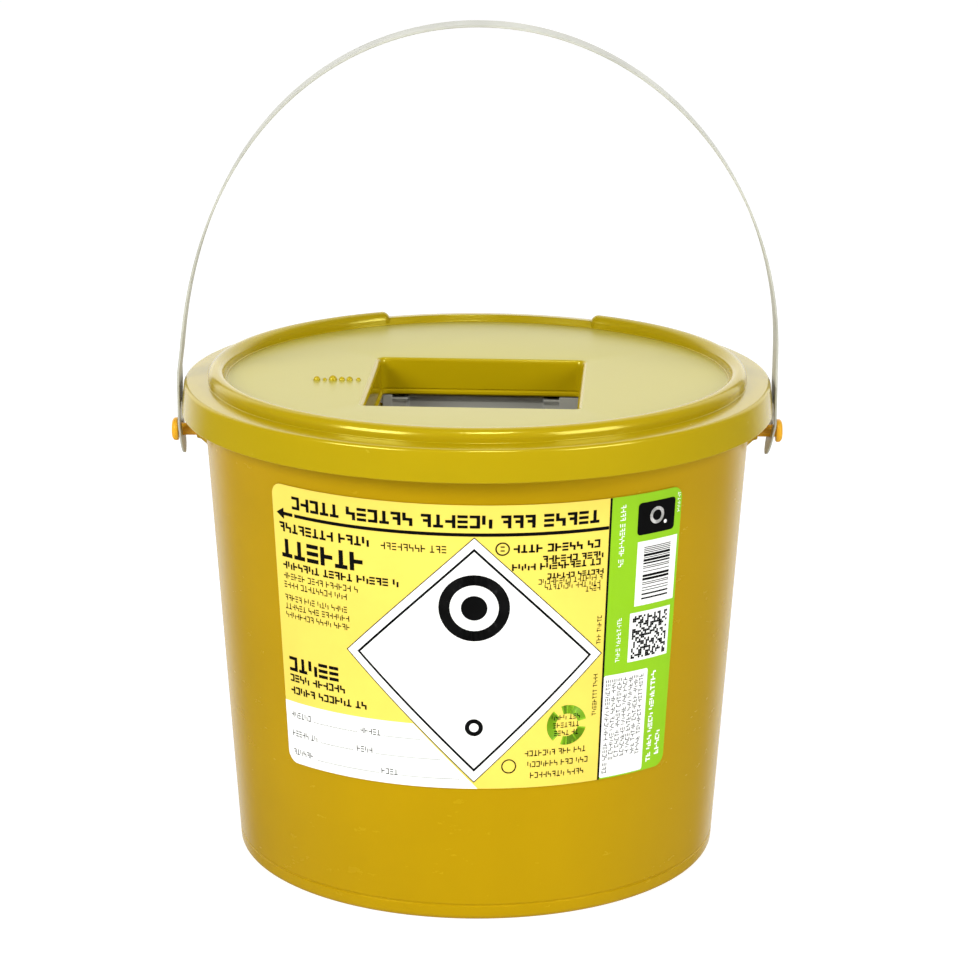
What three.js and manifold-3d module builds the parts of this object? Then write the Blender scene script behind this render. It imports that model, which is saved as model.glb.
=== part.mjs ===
// A round, tapered sharps container: a bucket moulding, a pressed-on lid with a chute and a sliding door
// under it, and a flat strip handle on two studs.
// Millimetres, +Z up. The origin is the centre of the base, on the plane the foot ring stands on.
// The front, which carries the label, faces -Y.
import * as THREE from "three";
import { mergeVertices } from "three/addons/utils/BufferGeometryUtils.js";
import Module from "manifold-3d";

const wasm = await Module();
wasm.setup();

// ---- Driving dimensions ----
const SEGMENTS = 72; // facets round the container
const JOIN = 0.4; // how far fused features of one moulding run into each other
const FIT = 0.3; // gap between separate pieces that touch
const PRISM = { bevelEnabled: false, curveSegments: 16 };

// container body: the outer wall is one straight cone
const BASE_R = 102.2;
const WALL = 1.5;
const TAPER = 12.7 / 190.7; // growth of radius per millimetre of height
const FOOT_W = 5.5;
const FOOT_H = 2.5;
const FLOOR_T = 2;
const RIM_Z = 201.7; // top of the bucket
const RIM_R = 121.2; // outside of the turned-down rim
const RIM_LIP_Z = 193;
const RIM_ROUND = 0.6;
const FOOT_ROUND = 1.2;
const FLOOR_ROUND = 4;
const GUSSET_ANGLES = [-9, 171, -171, 9]; // degrees from +X, in pairs half a turn apart
const GUSSET_FOOT_Z = 183;
const GUSSET_T = 1.6;

// lid
const LID_TOP = RIM_Z + FIT + 2; // upper face of the lid's plate
const LID_T = 2;
const SKIRT_BOTTOM_Z = 190.8;
const SKIRT_R = 124.5; // at the bottom edge, the widest place
const SKIRT_TOP_R = 123.3;
const SKIRT_T = 1.6;
const PLUG = { inner: 111.9, outer: 113.4, bottom: 193.5, lean: 0.8 };
const LOW_BEAD = 2.9;
const RIDGE_ROUND = 2;
const RIDGE = { inner: 106, outer: 113.3, height: 5.5, wall: 1.5, halfGap: 26.4 };
const LID_TURN = -3.3; // degrees, how far the lid was turned when it was pressed on

// chute and door, in the lid's own directions
const CHUTE = { halfW: 43.3, front: -54, back: 32, slotFront: -27, bottom: 188, wall: 1.6 };
const CHUTE_FLARE = 3; // how far the mouth opens out at the lid's plate
const RAIL = {
  inner: 46, web: 1.6, ledge: 2.4, bead: 1.8, beadH: 1.2, bottom: 181.9, front: -30.6, back: 98.8,
};
const STOP_T = 1.6; // cross walls at both ends of the rails
const DOOR = { halfW: 45.5, front: 31.2, back: 96.6, z: 183.9, t: 2, corner: 4 };
const LIP = {
  bottom: 181.3, top: 187.5, halfW: 43,
  centre: -2.6, gripHalfW: 29.3, gripDeep: 4, notchHalfW: 36, notch: 1.2,
};

// raised pips beside the chute: the middle of the row, then each pip's place along it and its radius
const PIP_ROW = { x: -58, y: -11.6 };
const PIPS = [[-8.7, 1.5], [-5.4, 0.9], [-2, 1.8], [1.8, 1.3], [5, 1.4], [8.7, 1]];

// handle and studs
const PIVOT_Z = 180.7;
const STRIP = { x: 124.9, t: 1, w: 16, centreZ: 216.3, rise: 135.5 };
const ARCH_STEPS = 48;
const LEFT_BOW = 3.2; // how far the left leg is bent in at its middle
const PADDLE = { halfW: 8.8, top: 26, bend: 4, endDrop: 1.2, hole: 5.3, holeUp: 6.6, slot: 3 };
const RIGHT_LEAN = 12; // degrees that the paddle's tip leans in
const LEFT_LEAN = 6;
const STUD = {
  head: 4.9, headX: 126.25, tipX: 129.2, neck: 2.6, flange: 5.5, flangeX: 110.4, flangeT: 1.3,
};
const BOSS = { bore: 2.9, foot: 6.5, tip: 4.4, flare: 3.4, tipX: 118.6 };
const PIVOT_SEGMENTS = 24;
const PIP_SEGMENTS = 12;
const SIDES = [0, 180]; // turns about Z that put a feature at the right and at the left

// label
const LABEL = { t: 0.25, halfAngle: 46.1, top: 178.6, bottom: 57.8, crown: 0.9, corner: 5 };

const wallR = (z) => BASE_R + TAPER * z;
const radians = THREE.MathUtils.degToRad;
const X = new THREE.Vector3(1, 0, 0);
const Y = new THREE.Vector3(0, 1, 0);
const Z = new THREE.Vector3(0, 0, 1);

// ---- Helpers ----

// A closed three.js geometry, turned by spin degrees about Z, as a solid that can be joined and cut.
function solid(geometry, spin = 0) {
  geometry.rotateZ(radians(spin));
  geometry.deleteAttribute("normal");
  geometry.deleteAttribute("uv");
  const merged = mergeVertices(geometry, 1e-4);
  const corners = merged.index.array;
  const kept = [];
  for (let i = 0; i < corners.length; i += 3) {
    const [a, b, c] = corners.slice(i, i + 3);
    if (a !== b && b !== c && c !== a) kept.push(a, b, c);
  }
  const vertProperties = merged.attributes.position.array;
  return new wasm.Manifold(new wasm.Mesh({ numProp: 3, vertProperties, triVerts: new Uint32Array(kept) }));
}

const vectors = (points) => points.map(([u, v]) => new THREE.Vector2(u, v));
const outline = (points) => new THREE.Shape(vectors(points));

// A solid of revolution about Z from [radius, height] points, going up on the outside. An outline that
// starts off the axis is closed on itself.
function turned(points, segments = SEGMENTS) {
  const profile = vectors(points);
  if (points[0][0] > 0) profile.push(profile[0].clone());
  return solid(new THREE.LatheGeometry(profile, segments).rotateX(Math.PI / 2));
}

// A solid of revolution about the pivot line, from [radius, x] points that start and end on that line.
function turnedOnPivot(points, spin) {
  const geometry = new THREE.LatheGeometry(vectors(points), PIVOT_SEGMENTS).rotateZ(-Math.PI / 2);
  return solid(geometry.translate(0, 0, PIVOT_Z), spin);
}

// A flat shape pushed from one place to another along an axis. Its u and v are the other two axes:
// Y and Z for a push along X, X and Z along Y, X and Y along Z.
function prism(shape, axis, from, to, spin = 0) {
  const geometry = new THREE.ExtrudeGeometry(shape, { ...PRISM, depth: to - from });
  geometry.translate(0, 0, axis === Y ? -to : from);
  if (axis === X) geometry.applyMatrix4(new THREE.Matrix4().makeBasis(Y, Z, X));
  if (axis === Y) geometry.applyMatrix4(new THREE.Matrix4().makeBasis(X, Z, Y.clone().negate()));
  return solid(geometry, spin);
}

function block([x0, x1], [y0, y1], [z0, z1]) {
  return prism(outline([[x0, y0], [x1, y0], [x1, y1], [x0, y1]]), Z, z0, z1);
}

function disc(u, v, radius) {
  return new THREE.Shape().absarc(u, v, radius, 0, 2 * Math.PI);
}

function joined(first, ...rest) {
  return rest.reduce((sum, piece) => sum.add(piece), first);
}

function cut(body, ...tools) {
  return tools.reduce((left, tool) => left.subtract(tool), body);
}

function named(name, body, color, roughness, metalness = 0) {
  const made = body.getMesh();
  const geometry = new THREE.BufferGeometry();
  geometry.setAttribute("position", new THREE.BufferAttribute(new Float32Array(made.vertProperties), 3));
  geometry.setIndex(new THREE.BufferAttribute(new Uint32Array(made.triVerts), 1));
  geometry.computeVertexNormals();
  const mesh = new THREE.Mesh(geometry, new THREE.MeshStandardMaterial({ color, roughness, metalness }));
  mesh.name = name;
  return mesh;
}

// ---- Container body ----

// The bucket in section: foot ring, tapered wall, and a rim that turns out and down.
function bucket() {
  const insideR = (z) => wallR(z) - WALL;
  const floorTop = FOOT_H + FLOOR_T;
  const underRim = RIM_Z - WALL;
  return turned([
    [0, FOOT_H],
    [BASE_R - FOOT_W - 1.5, FOOT_H],
    [BASE_R - FOOT_W, 0],
    [BASE_R - FOOT_ROUND, 0],
    [wallR(FOOT_ROUND), FOOT_ROUND],
    [wallR(underRim), underRim],
    [RIM_R - WALL, underRim],
    [RIM_R - WALL, RIM_LIP_Z],
    [RIM_R, RIM_LIP_Z],
    [RIM_R, RIM_Z - RIM_ROUND],
    [RIM_R - RIM_ROUND, RIM_Z],
    [insideR(RIM_Z) + RIM_ROUND, RIM_Z],
    [insideR(RIM_Z - RIM_ROUND), RIM_Z - RIM_ROUND],
    [insideR(floorTop + FLOOR_ROUND), floorTop + FLOOR_ROUND],
    [insideR(floorTop) - 0.3 * FLOOR_ROUND, floorTop + 0.3 * FLOOR_ROUND],
    [insideR(floorTop) - FLOOR_ROUND, floorTop],
    [0, floorTop],
  ]);
}

// A thin upright web that ties the turned-down rim to the wall.
function gusset(angle) {
  const underRim = RIM_Z - WALL + JOIN;
  const lipInside = RIM_R - WALL + JOIN;
  const web = outline([
    [wallR(GUSSET_FOOT_Z) - JOIN, GUSSET_FOOT_Z],
    [wallR(GUSSET_FOOT_Z) + JOIN, GUSSET_FOOT_Z],
    [lipInside, RIM_LIP_Z],
    [lipInside, underRim],
    [wallR(GUSSET_FOOT_Z) - JOIN, underRim],
  ]);
  return prism(web, Y, -GUSSET_T / 2, GUSSET_T / 2, angle);
}

// The flared boss on the wall that a stud plugs into.
function studBoss(spin) {
  const start = wallR(PIVOT_Z) - WALL + JOIN;
  const { foot, tip, flare, tipX } = BOSS;
  return turnedOnPivot([[0, start], [foot, start], [tip, start + flare], [tip, tipX], [0, tipX]], spin);
}

function containerBody() {
  const solidBody = joined(bucket(), ...GUSSET_ANGLES.map(gusset), ...SIDES.map(studBoss));
  const bore = (spin) => prism(disc(0, PIVOT_Z, BOSS.bore), X, STUD.flangeX, STUD.tipX, spin);
  return cut(solidBody, ...SIDES.map(bore));
}

// A push-in stud: a round head outside, a neck the handle turns on, and a flange inside the wall.
function stud(spin) {
  const flangeEnd = STUD.flangeX + STUD.flangeT;
  return turnedOnPivot([
    [0, STUD.flangeX],
    [STUD.flange, STUD.flangeX],
    [STUD.flange, flangeEnd],
    [STUD.neck, flangeEnd],
    [STUD.neck, STUD.headX],
    [STUD.head, STUD.headX],
    [STUD.head, STUD.headX + 1],
    [0.82 * STUD.head, STUD.tipX - 0.6],
    [0.5 * STUD.head, STUD.tipX],
    [0, STUD.tipX],
  ], spin);
}

// ---- Lid ----

// The lid's plate, outer skirt and inner plug ring in section, with the low bead in the ridge's gap.
function lidShell() {
  const under = LID_TOP - LID_T;
  const beadTop = LID_TOP + LOW_BEAD;
  const skirtInside = SKIRT_R - SKIRT_T;
  return turned([
    [0, under],
    [PLUG.inner, under],
    [PLUG.inner - PLUG.lean, PLUG.bottom],
    [PLUG.outer - PLUG.lean, PLUG.bottom],
    [PLUG.outer, under],
    [SKIRT_TOP_R - SKIRT_T, under],
    [skirtInside, SKIRT_BOTTOM_Z],
    [SKIRT_R, SKIRT_BOTTOM_Z],
    [SKIRT_TOP_R, LID_TOP - 1.8],
    [SKIRT_TOP_R - 0.5, LID_TOP - 0.6],
    [SKIRT_TOP_R - 1.8, LID_TOP],
    [RIDGE.outer - 1.5, LID_TOP],
    [RIDGE.outer - 2.5, beadTop],
    [RIDGE.inner + 2.5, beadTop],
    [RIDGE.inner + 1.5, LID_TOP],
    [0, LID_TOP],
  ]);
}

// A ring under the ridge's round edges, for the ridge itself or, wall thinner all over, for its hollow.
function ridgeRing(wall, bottom) {
  const inner = RIDGE.inner + wall;
  const outer = RIDGE.outer - wall;
  const top = LID_TOP + RIDGE.height - wall;
  const round = RIDGE_ROUND;
  return turned([
    [inner, bottom],
    [outer, bottom],
    [outer, top - round],
    [outer - 0.3 * round, top - 0.3 * round],
    [outer - round, top],
    [inner + round, top],
    [inner + 0.3 * round, top - 0.3 * round],
    [inner, top - round],
  ]);
}

// The wedge at the back where the ridge is left out, wider by a margin in degrees.
function ridgeGap(margin) {
  const half = radians(RIDGE.halfGap + margin);
  const reach = 160;
  const side = reach * Math.sin(half);
  const far = reach * Math.cos(half);
  const sector = outline([[0, 0], [side, far], [-side, far]]);
  return prism(sector, Z, LID_TOP - LID_T - 1, LID_TOP + 20);
}

// A rounded end of the ridge, on its middle line at one side of the gap.
function ridgeEnd(side) {
  const angle = radians(90 + side * RIDGE.halfGap);
  const middle = (RIDGE.inner + RIDGE.outer) / 2;
  const radius = (RIDGE.outer - RIDGE.inner) / 2;
  const end = disc(middle * Math.cos(angle), middle * Math.sin(angle), radius);
  return prism(end, Z, LID_TOP - LID_T / 2, LID_TOP + RIDGE.height - RIDGE_ROUND / 2);
}

function ridge() {
  return joined(cut(ridgeRing(0, LID_TOP - LID_T / 2), ridgeGap(0)), ...[-1, 1].map(ridgeEnd));
}

function ridgeHollow() {
  return cut(ridgeRing(RIDGE.wall, LID_TOP - LID_T - 0.5), ridgeGap(1));
}

// The chute in side view, thicker by wall: an upright back and a front that slopes down to the slot.
function chuteSide(wall, top) {
  return outline([
    [CHUTE.slotFront - wall, CHUTE.bottom],
    [CHUTE.back + wall, CHUTE.bottom],
    [CHUTE.back + wall, top],
    [CHUTE.front - wall, top],
    [CHUTE.front - wall, LID_TOP - 1],
  ]);
}

function chute() {
  const halfW = CHUTE.halfW + CHUTE.wall;
  return prism(chuteSide(CHUTE.wall, LID_TOP - LID_T / 2), X, -halfW, halfW);
}

function chuteHole() {
  const { halfW, slotFront, back, bottom } = CHUTE;
  const slot = block([-halfW, halfW], [slotFront, back], [bottom - 1, LID_TOP]);
  const flared = outline([
    [-halfW, LID_TOP - CHUTE_FLARE],
    [halfW, LID_TOP - CHUTE_FLARE],
    [halfW + 0.3 * CHUTE_FLARE, LID_TOP - 0.3 * CHUTE_FLARE],
    [halfW + CHUTE_FLARE, LID_TOP],
    [halfW + CHUTE_FLARE, LID_TOP + 10],
    [-halfW - CHUTE_FLARE, LID_TOP + 10],
    [-halfW - CHUTE_FLARE, LID_TOP],
    [-halfW - 0.3 * CHUTE_FLARE, LID_TOP - 0.3 * CHUTE_FLARE],
  ]);
  const mouth = prism(flared, Y, CHUTE.front, back);
  return joined(prism(chuteSide(0, LID_TOP + 10), X, -halfW, halfW), slot, mouth);
}

// One door rail in section: a web with a ledge below the door and a bead above it.
function rail(spin) {
  const webOuter = RAIL.inner + RAIL.web;
  const ledgeTip = RAIL.inner - RAIL.ledge;
  const beadTip = RAIL.inner - RAIL.bead;
  const doorTop = DOOR.z + DOOR.t;
  const section = outline([
    [webOuter, RAIL.bottom],
    [webOuter, LID_TOP - LID_T / 2],
    [RAIL.inner, LID_TOP - LID_T / 2],
    [RAIL.inner, doorTop + 2 * FIT + RAIL.beadH],
    [beadTip, doorTop + FIT + RAIL.beadH],
    [beadTip, doorTop + FIT],
    [RAIL.inner, doorTop + FIT],
    [RAIL.inner, DOOR.z - FIT],
    [ledgeTip, DOOR.z - FIT],
    [ledgeTip, RAIL.bottom],
  ].map(([x, z]) => [spin ? -x : x, z]));
  return prism(section, Y, RAIL.front, RAIL.back);
}

// The cross wall that stops the closed door.
function frontStop() {
  const halfW = RAIL.inner + RAIL.web;
  const alongY = [RAIL.front - STOP_T, RAIL.front + JOIN];
  return block([-halfW, halfW], alongY, [RAIL.bottom, CHUTE.bottom + 1.2]);
}

// The cross wall behind the stowed door.
function backStop() {
  const halfW = RAIL.inner + RAIL.web;
  return block([-halfW, halfW], [RAIL.back - STOP_T, RAIL.back], [RAIL.bottom, DOOR.z + DOOR.t + 3]);
}

// A raised dome on the lid's plate, in a row that stays level with the container's own X axis.
function pip([along, radius]) {
  const dome = turned([
    [0, LID_TOP - JOIN],
    [radius, LID_TOP - JOIN],
    [radius, LID_TOP + 0.4 * radius],
    [0.7 * radius, LID_TOP + 0.95 * radius],
    [0, LID_TOP + 1.2 * radius],
  ], PIP_SEGMENTS);
  const x = PIP_ROW.x + along * Math.cos(radians(LID_TURN));
  const y = PIP_ROW.y - along * Math.sin(radians(LID_TURN));
  return dome.translate(x, y, 0);
}

function lid() {
  const plate = joined(cut(joined(lidShell(), ridge()), ridgeHollow()), chute(), ...PIPS.map(pip));
  return cut(joined(plate, rail(0), rail(180), frontStop(), backStop()), chuteHole());
}

// ---- Sliding door ----

// The door's front edge from left to right, moved back by a distance, with its finger recess.
function doorFront(halfW, back) {
  const edge = DOOR.front + back;
  const step = edge + LIP.gripDeep;
  const left = LIP.centre - LIP.gripHalfW - back;
  const right = LIP.centre + LIP.gripHalfW + back;
  return [[-halfW, edge], [left, edge], [left, step], [right, step], [right, edge], [halfW, edge]];
}

function slidingDoor() {
  const { halfW, back, corner, z, t } = DOOR;
  const plate = prism(outline([
    ...doorFront(halfW, 0),
    [halfW, back - corner],
    [halfW - corner, back],
    [corner - halfW, back],
    [-halfW, back - corner],
  ]), Z, z, z + t);
  const rib = (row) => {
    const y = DOOR.front + LIP.gripDeep + 11 + 5 * row;
    return block([-20, 20], [y, y + 1.6], [z + t - JOIN, z + t + 1]);
  };
  return joined(plate, doorLip(), rib(0), rib(1), rib(2));
}

// The upright lip along the door's front edge that a finger pulls, lower at both sides of the recess.
function doorLip() {
  const { halfW, bottom, top, centre, gripHalfW, notchHalfW, notch } = LIP;
  const strip = outline([...doorFront(halfW, 0), ...doorFront(halfW, DOOR.t).reverse()]);
  const lip = prism(strip, Z, bottom, top);
  const gap = (side) => block(
    [centre + side * gripHalfW, centre + side * notchHalfW].sort((a, b) => a - b),
    [DOOR.front - 1, DOOR.front + LIP.gripDeep + DOOR.t + 1],
    [top - notch, top + 1],
  );
  return cut(lip, gap(-1), gap(1));
}

// ---- Handle ----

// One face of the arch from the right paddle over to the left, grow outside the strip's inner face.
function archFace(grow) {
  const low = PIVOT_Z + PADDLE.top - JOIN;
  const crown = STRIP.centreZ + STRIP.rise + grow;
  const points = [[STRIP.x + grow, low]];
  for (let i = 0; i <= ARCH_STEPS; i += 1) {
    const angle = (Math.PI * i) / ARCH_STEPS;
    const x = (STRIP.x + grow) * Math.cos(angle);
    const z = STRIP.centreZ + (STRIP.rise + grow) * Math.sin(angle);
    const bow = LEFT_BOW * Math.sin(Math.PI * ((z - low) / (crown - low)) ** 0.75);
    points.push([x < 0 ? x + bow : x, z]);
  }
  return [...points, [-STRIP.x - grow, low]];
}

// The bent strip above the paddles.
function strip() {
  return prism(outline([...archFace(STRIP.t), ...archFace(0).reverse()]), Y, -STRIP.w / 2, STRIP.w / 2);
}

// The lower end of a paddle, which leans in under the lid's skirt, with a round tip.
function paddleTip(spin) {
  const bendZ = PIVOT_Z + PADDLE.bend + 0.2;
  const endZ = PIVOT_Z - PADDLE.endDrop;
  const shape = new THREE.Shape().moveTo(PADDLE.halfW, bendZ).lineTo(-PADDLE.halfW, bendZ);
  shape.absarc(0, endZ, PADDLE.halfW, Math.PI, 2 * Math.PI, false);
  const geometry = new THREE.ExtrudeGeometry(shape, { ...PRISM, depth: STRIP.t });
  geometry.translate(0, 0, STRIP.x).applyMatrix4(new THREE.Matrix4().makeBasis(Y, Z, X));
  const slope = Math.tan(radians(spin === 0 ? RIGHT_LEAN : LEFT_LEAN));
  const lean = new THREE.Matrix4().set(1, 0, slope, -slope * bendZ, 0, 1, 0, 0, 0, 0, 1, 0, 0, 0, 0, 1);
  return solid(geometry.applyMatrix4(lean), spin);
}

// A flat paddle at the end of the strip, widening from it.
function paddleBlade(spin) {
  const { halfW, top, bend } = PADDLE;
  const blade = outline([
    [-halfW, PIVOT_Z + bend],
    [halfW, PIVOT_Z + bend],
    [halfW, PIVOT_Z + top - 3],
    [STRIP.w / 2, PIVOT_Z + top],
    [-STRIP.w / 2, PIVOT_Z + top],
    [-halfW, PIVOT_Z + top - 3],
  ]);
  return prism(blade, X, STRIP.x, STRIP.x + STRIP.t, spin);
}

// The keyhole that passes over a stud's head and then drops onto its neck.
function keyhole(spin) {
  const reach = [STRIP.x - 6, STRIP.x + 4];
  const { hole, holeUp, slot } = PADDLE;
  const holeZ = PIVOT_Z + holeUp;
  const neckWay = outline([[-slot, PIVOT_Z], [slot, PIVOT_Z], [slot, holeZ], [-slot, holeZ]]);
  return joined(
    prism(disc(0, holeZ, hole), X, ...reach, spin),
    prism(disc(0, PIVOT_Z, slot), X, ...reach, spin),
    prism(neckWay, X, ...reach, spin),
  );
}

function handleStrip() {
  return cut(joined(strip(), ...SIDES.map(paddleBlade), ...SIDES.map(paddleTip)), ...SIDES.map(keyhole));
}

// ---- Label ----

// The label's outline seen from the front. Its sides lie along the cone, so they come together downwards.
function labelOutline() {
  const { top, bottom, crown, corner } = LABEL;
  const halfTop = wallR(top) * Math.sin(radians(LABEL.halfAngle));
  const halfBottom = wallR(bottom) * Math.sin(radians(LABEL.halfAngle));
  const shape = new THREE.Shape().moveTo(corner - halfBottom, bottom);
  shape.quadraticCurveTo(0, bottom + 2 * crown, halfBottom - corner, bottom);
  shape.quadraticCurveTo(halfBottom, bottom, halfBottom, bottom + corner);
  shape.lineTo(halfTop, top - corner).quadraticCurveTo(halfTop, top, halfTop - corner, top);
  shape.quadraticCurveTo(0, top + 2 * crown, corner - halfTop, top);
  shape.quadraticCurveTo(-halfTop, top, -halfTop, top - corner).lineTo(-halfBottom, bottom + corner);
  return shape;
}

// A thin skin that follows the wall.
function label() {
  const low = LABEL.bottom - 5;
  const high = LABEL.top + 5;
  const at = (z, out) => [wallR(z) + out, z];
  const skin = turned([at(low, FIT), at(low, FIT + LABEL.t), at(high, FIT + LABEL.t), at(high, FIT)]);
  return skin.intersect(prism(labelOutline(), Y, -BASE_R - 20, 0));
}

// ---- Assembly ----

const YELLOW = 0xd8a60c;
const LID_YELLOW = 0xcdae14;
const GREY = 0x7f817a;
const ORANGE = 0xdc961e;
const METAL = 0xb3b59a;
const LABEL_YELLOW = 0xfbf164;

const container = new THREE.Group();
container.add(named("container_body", containerBody(), YELLOW, 0.38));
container.add(named("handle_stud_right", stud(0), ORANGE, 0.4));
container.add(named("handle_stud_left", stud(180), ORANGE, 0.4));
container.add(named("handle_strip", handleStrip(), METAL, 0.35, 0.8));
container.add(named("front_label", label(), LABEL_YELLOW, 0.5));

const lidGroup = new THREE.Group();
lidGroup.rotation.z = radians(LID_TURN);
lidGroup.add(named("lid", lid(), LID_YELLOW, 0.36));
lidGroup.add(named("sliding_door", slidingDoor(), GREY, 0.5));
container.add(lidGroup);

export default container;
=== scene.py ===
"""The looks of a round sharps container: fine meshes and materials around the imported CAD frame.

Shapes are worked out in millimetres in the CAD's frame (+Z up, front towards -Y) and scaled to metres.
"""
import math
import random

import bmesh
import bpy
from mathutils import Matrix, Vector


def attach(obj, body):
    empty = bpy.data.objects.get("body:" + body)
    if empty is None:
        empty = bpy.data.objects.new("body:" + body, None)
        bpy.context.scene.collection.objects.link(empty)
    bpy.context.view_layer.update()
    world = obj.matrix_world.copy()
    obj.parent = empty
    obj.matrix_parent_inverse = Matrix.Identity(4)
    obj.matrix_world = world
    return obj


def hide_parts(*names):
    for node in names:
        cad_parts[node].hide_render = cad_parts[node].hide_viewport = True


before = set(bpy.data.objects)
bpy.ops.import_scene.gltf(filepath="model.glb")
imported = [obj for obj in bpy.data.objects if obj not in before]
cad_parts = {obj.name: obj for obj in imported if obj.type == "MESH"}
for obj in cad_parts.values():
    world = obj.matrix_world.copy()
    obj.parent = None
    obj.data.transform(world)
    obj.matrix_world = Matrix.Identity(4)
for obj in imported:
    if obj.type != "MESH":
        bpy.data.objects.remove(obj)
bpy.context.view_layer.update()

MM = 0.001

# ---- Driving dimensions, in millimetres, as in the CAD ----

# container body
BASE_R = 102.2
TAPER = 12.7 / 190.7  # growth of radius per millimetre of height
WALL = 1.5
FOOT_W = 5.5
FOOT_H = 2.5
FLOOR_T = 2.0
SEAM_Z = 6.2  # a fine groove round the foot
RIM_Z = 201.7
RIM_R = 121.2
RIM_LIP_Z = 193.0
GUSSET_ANGLES = (-9, 171, -171, 9)  # degrees from +X
GUSSET_FOOT_Z = 183.0
GUSSET_T = 1.6

# lid
LID_TOP = 204.0
LID_UNDER = 202.0
SKIRT_BOTTOM_Z = 190.8
SKIRT_R = 124.4
SKIRT_TOP_R = 123.2
SKIRT_T = 1.5
PLUG_INNER = 111.9
PLUG_OUTER = 113.4
PLUG_BOTTOM = 193.5
PLUG_LEAN = 0.8
BEAD = 2.9  # height of the low bead that the ridge stands on
RIDGE_R = 109.65
RIDGE_HALF_W = 3.65
RIDGE_TOP = 209.5
RIDGE_SPRING = 205.4  # where the ridge's sides turn into its round top
RIDGE_GAP = 26.4  # half of the gap at the back, in degrees
LID_TURN = math.radians(-3.3)
PIPS = [(-8.7, 1.5), (-5.4, 0.9), (-2.0, 1.8), (1.8, 1.3), (5.0, 1.4), (8.7, 1.0)]  # place and radius
PIP_ROW_X = -58.0
PIP_ROW_Y = -11.6
PIP_RISE = 1.2  # height over radius

# chute and door rails
CHUTE_HALF_W = 43.3
CHUTE_FRONT = -54.0
CHUTE_BACK = 32.0
CHUTE_SLOT_FRONT = -27.0
CHUTE_BOTTOM = 188.0
CHUTE_WALL = 1.6
CHUTE_CORNER = 3.0
CHUTE_FLARE = 3.0
MOUTH_ROUND = 1.3
RAIL_INNER = 46.0
RAIL_WEB = 1.6
RAIL_LEDGE = 2.4
RAIL_BEAD = 1.8
RAIL_BOTTOM = 181.9
RAIL_FRONT = -30.6
RAIL_BACK = 98.8
STOP_T = 1.6

# sliding door
DOOR_HALF_W = 45.5
DOOR_FRONT = 31.2
DOOR_BACK = 96.6
DOOR_Z = 183.9
DOOR_T = 2.0
DOOR_CORNER = 4.0
LIP_HALF_W = 43.0
LIP_BOTTOM = 181.3
LIP_TOP = 187.5
NOTCH_HALF_W = 36.0
NOTCH = 1.2
GRIP_CENTRE = -2.6
GRIP_HALF_W = 29.3
GRIP_DEEP = 4.0
RIBS = 3
RIB_HALF_W = 20
RIB_W = 1.6
RIB_H = 1.0
RIB_PITCH = 5

# handle and its studs
PIVOT_Z = 180.7
BOSS_TIP_X = 118.6
STRIP_X = 125.4
STRIP_T = 1.0
STRIP_W = 16.0
STRIP_EDGE = 0.22  # how much is taken off the strip's long edges
ARCH_Z = 216.3
ARCH_RISE = 136.0
PADDLE_HALF_W = 8.8
PADDLE_TOP = 26.0
PADDLE_BEND = 4.0
PADDLE_END = 10.0
RIGHT_LEAN = math.radians(12)
LEFT_LEAN = math.radians(6)
LEFT_BOW = 3.2
KEYHOLE_R = 5.3
KEYHOLE_UP = 6.6  # the round hole's centre above the pivot
KEYHOLE_SLOT = 3.0

# label, with u round the wall from the front and v up
LABEL_R = 110.0
LABEL_HALF = 88.3
LABEL_TOP = 178.7
LABEL_BOTTOM = 58.0
LABEL_CORNER = 5
FORM_TOP = 85.2
DIVIDER_U = 53.0
DIAMOND = [(-1.0, 165.0), (-53.6, 113.9), (-1.0, 61.0), (51.6, 113.3)]
FACET = 2.4  # width of the label's flat strips round the wall


def wall_r(z):
    return BASE_R + TAPER * z


# ---- Mesh helpers ----

def arc_points(before, corner, after, radius, steps=6):
    """The corner of an outline replaced by an arc of that radius."""
    to_before, to_after = (before - corner).normalized(), (after - corner).normalized()
    angle = to_before.angle(to_after)
    reach = radius / math.tan(angle / 2)
    reach = min(reach, 0.49 * (before - corner).length, 0.49 * (after - corner).length)
    start, end = corner + to_before * reach, corner + to_after * reach
    centre = corner + (to_before + to_after).normalized() * reach / math.cos(angle / 2)
    points = []
    for i in range(steps + 1):
        t = i / steps
        spoke = (start - centre).lerp(end - centre, t)
        points.append(centre + spoke.normalized() * (start - centre).length)
    return points


def rounded(points, closed=False):
    """An outline of (u, v) or (u, v, radius) points with each corner rounded to its radius."""
    flat = [Vector(p[:2]) for p in points]
    radii = [p[2] if len(p) > 2 else 0 for p in points]
    result = []
    count = len(points)
    for i in range(count):
        inner = closed or 0 < i < count - 1
        if radii[i] and inner:
            result += arc_points(flat[i - 1], flat[i], flat[(i + 1) % count], radii[i])
        else:
            result.append(flat[i])
    return [(p.x, p.y) for p in result]


def mesh_object(name, bm):
    """A bmesh in millimetres as an object in metres."""
    bmesh.ops.recalc_face_normals(bm, faces=bm.faces)
    bmesh.ops.scale(bm, vec=(MM, MM, MM), verts=bm.verts)
    mesh = bpy.data.meshes.new(name)
    bm.to_mesh(mesh)
    bm.free()
    obj = bpy.data.objects.new(name, mesh)
    bpy.context.scene.collection.objects.link(obj)
    return obj


def finish_mesh(name, bm, material, body, replaces=(), sharp=32):
    """A bmesh as a smooth object that rides on a body. Edges of more than sharp degrees stay sharp."""
    bmesh.ops.remove_doubles(bm, verts=bm.verts, dist=1e-4)
    obj = mesh_object(name, bm)
    obj.data.shade_smooth()
    obj.data.set_sharp_from_angle(angle=math.radians(sharp))
    obj.data.materials.append(material)
    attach(obj, body)
    if replaces:
        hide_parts(*replaces)
    return obj


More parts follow.
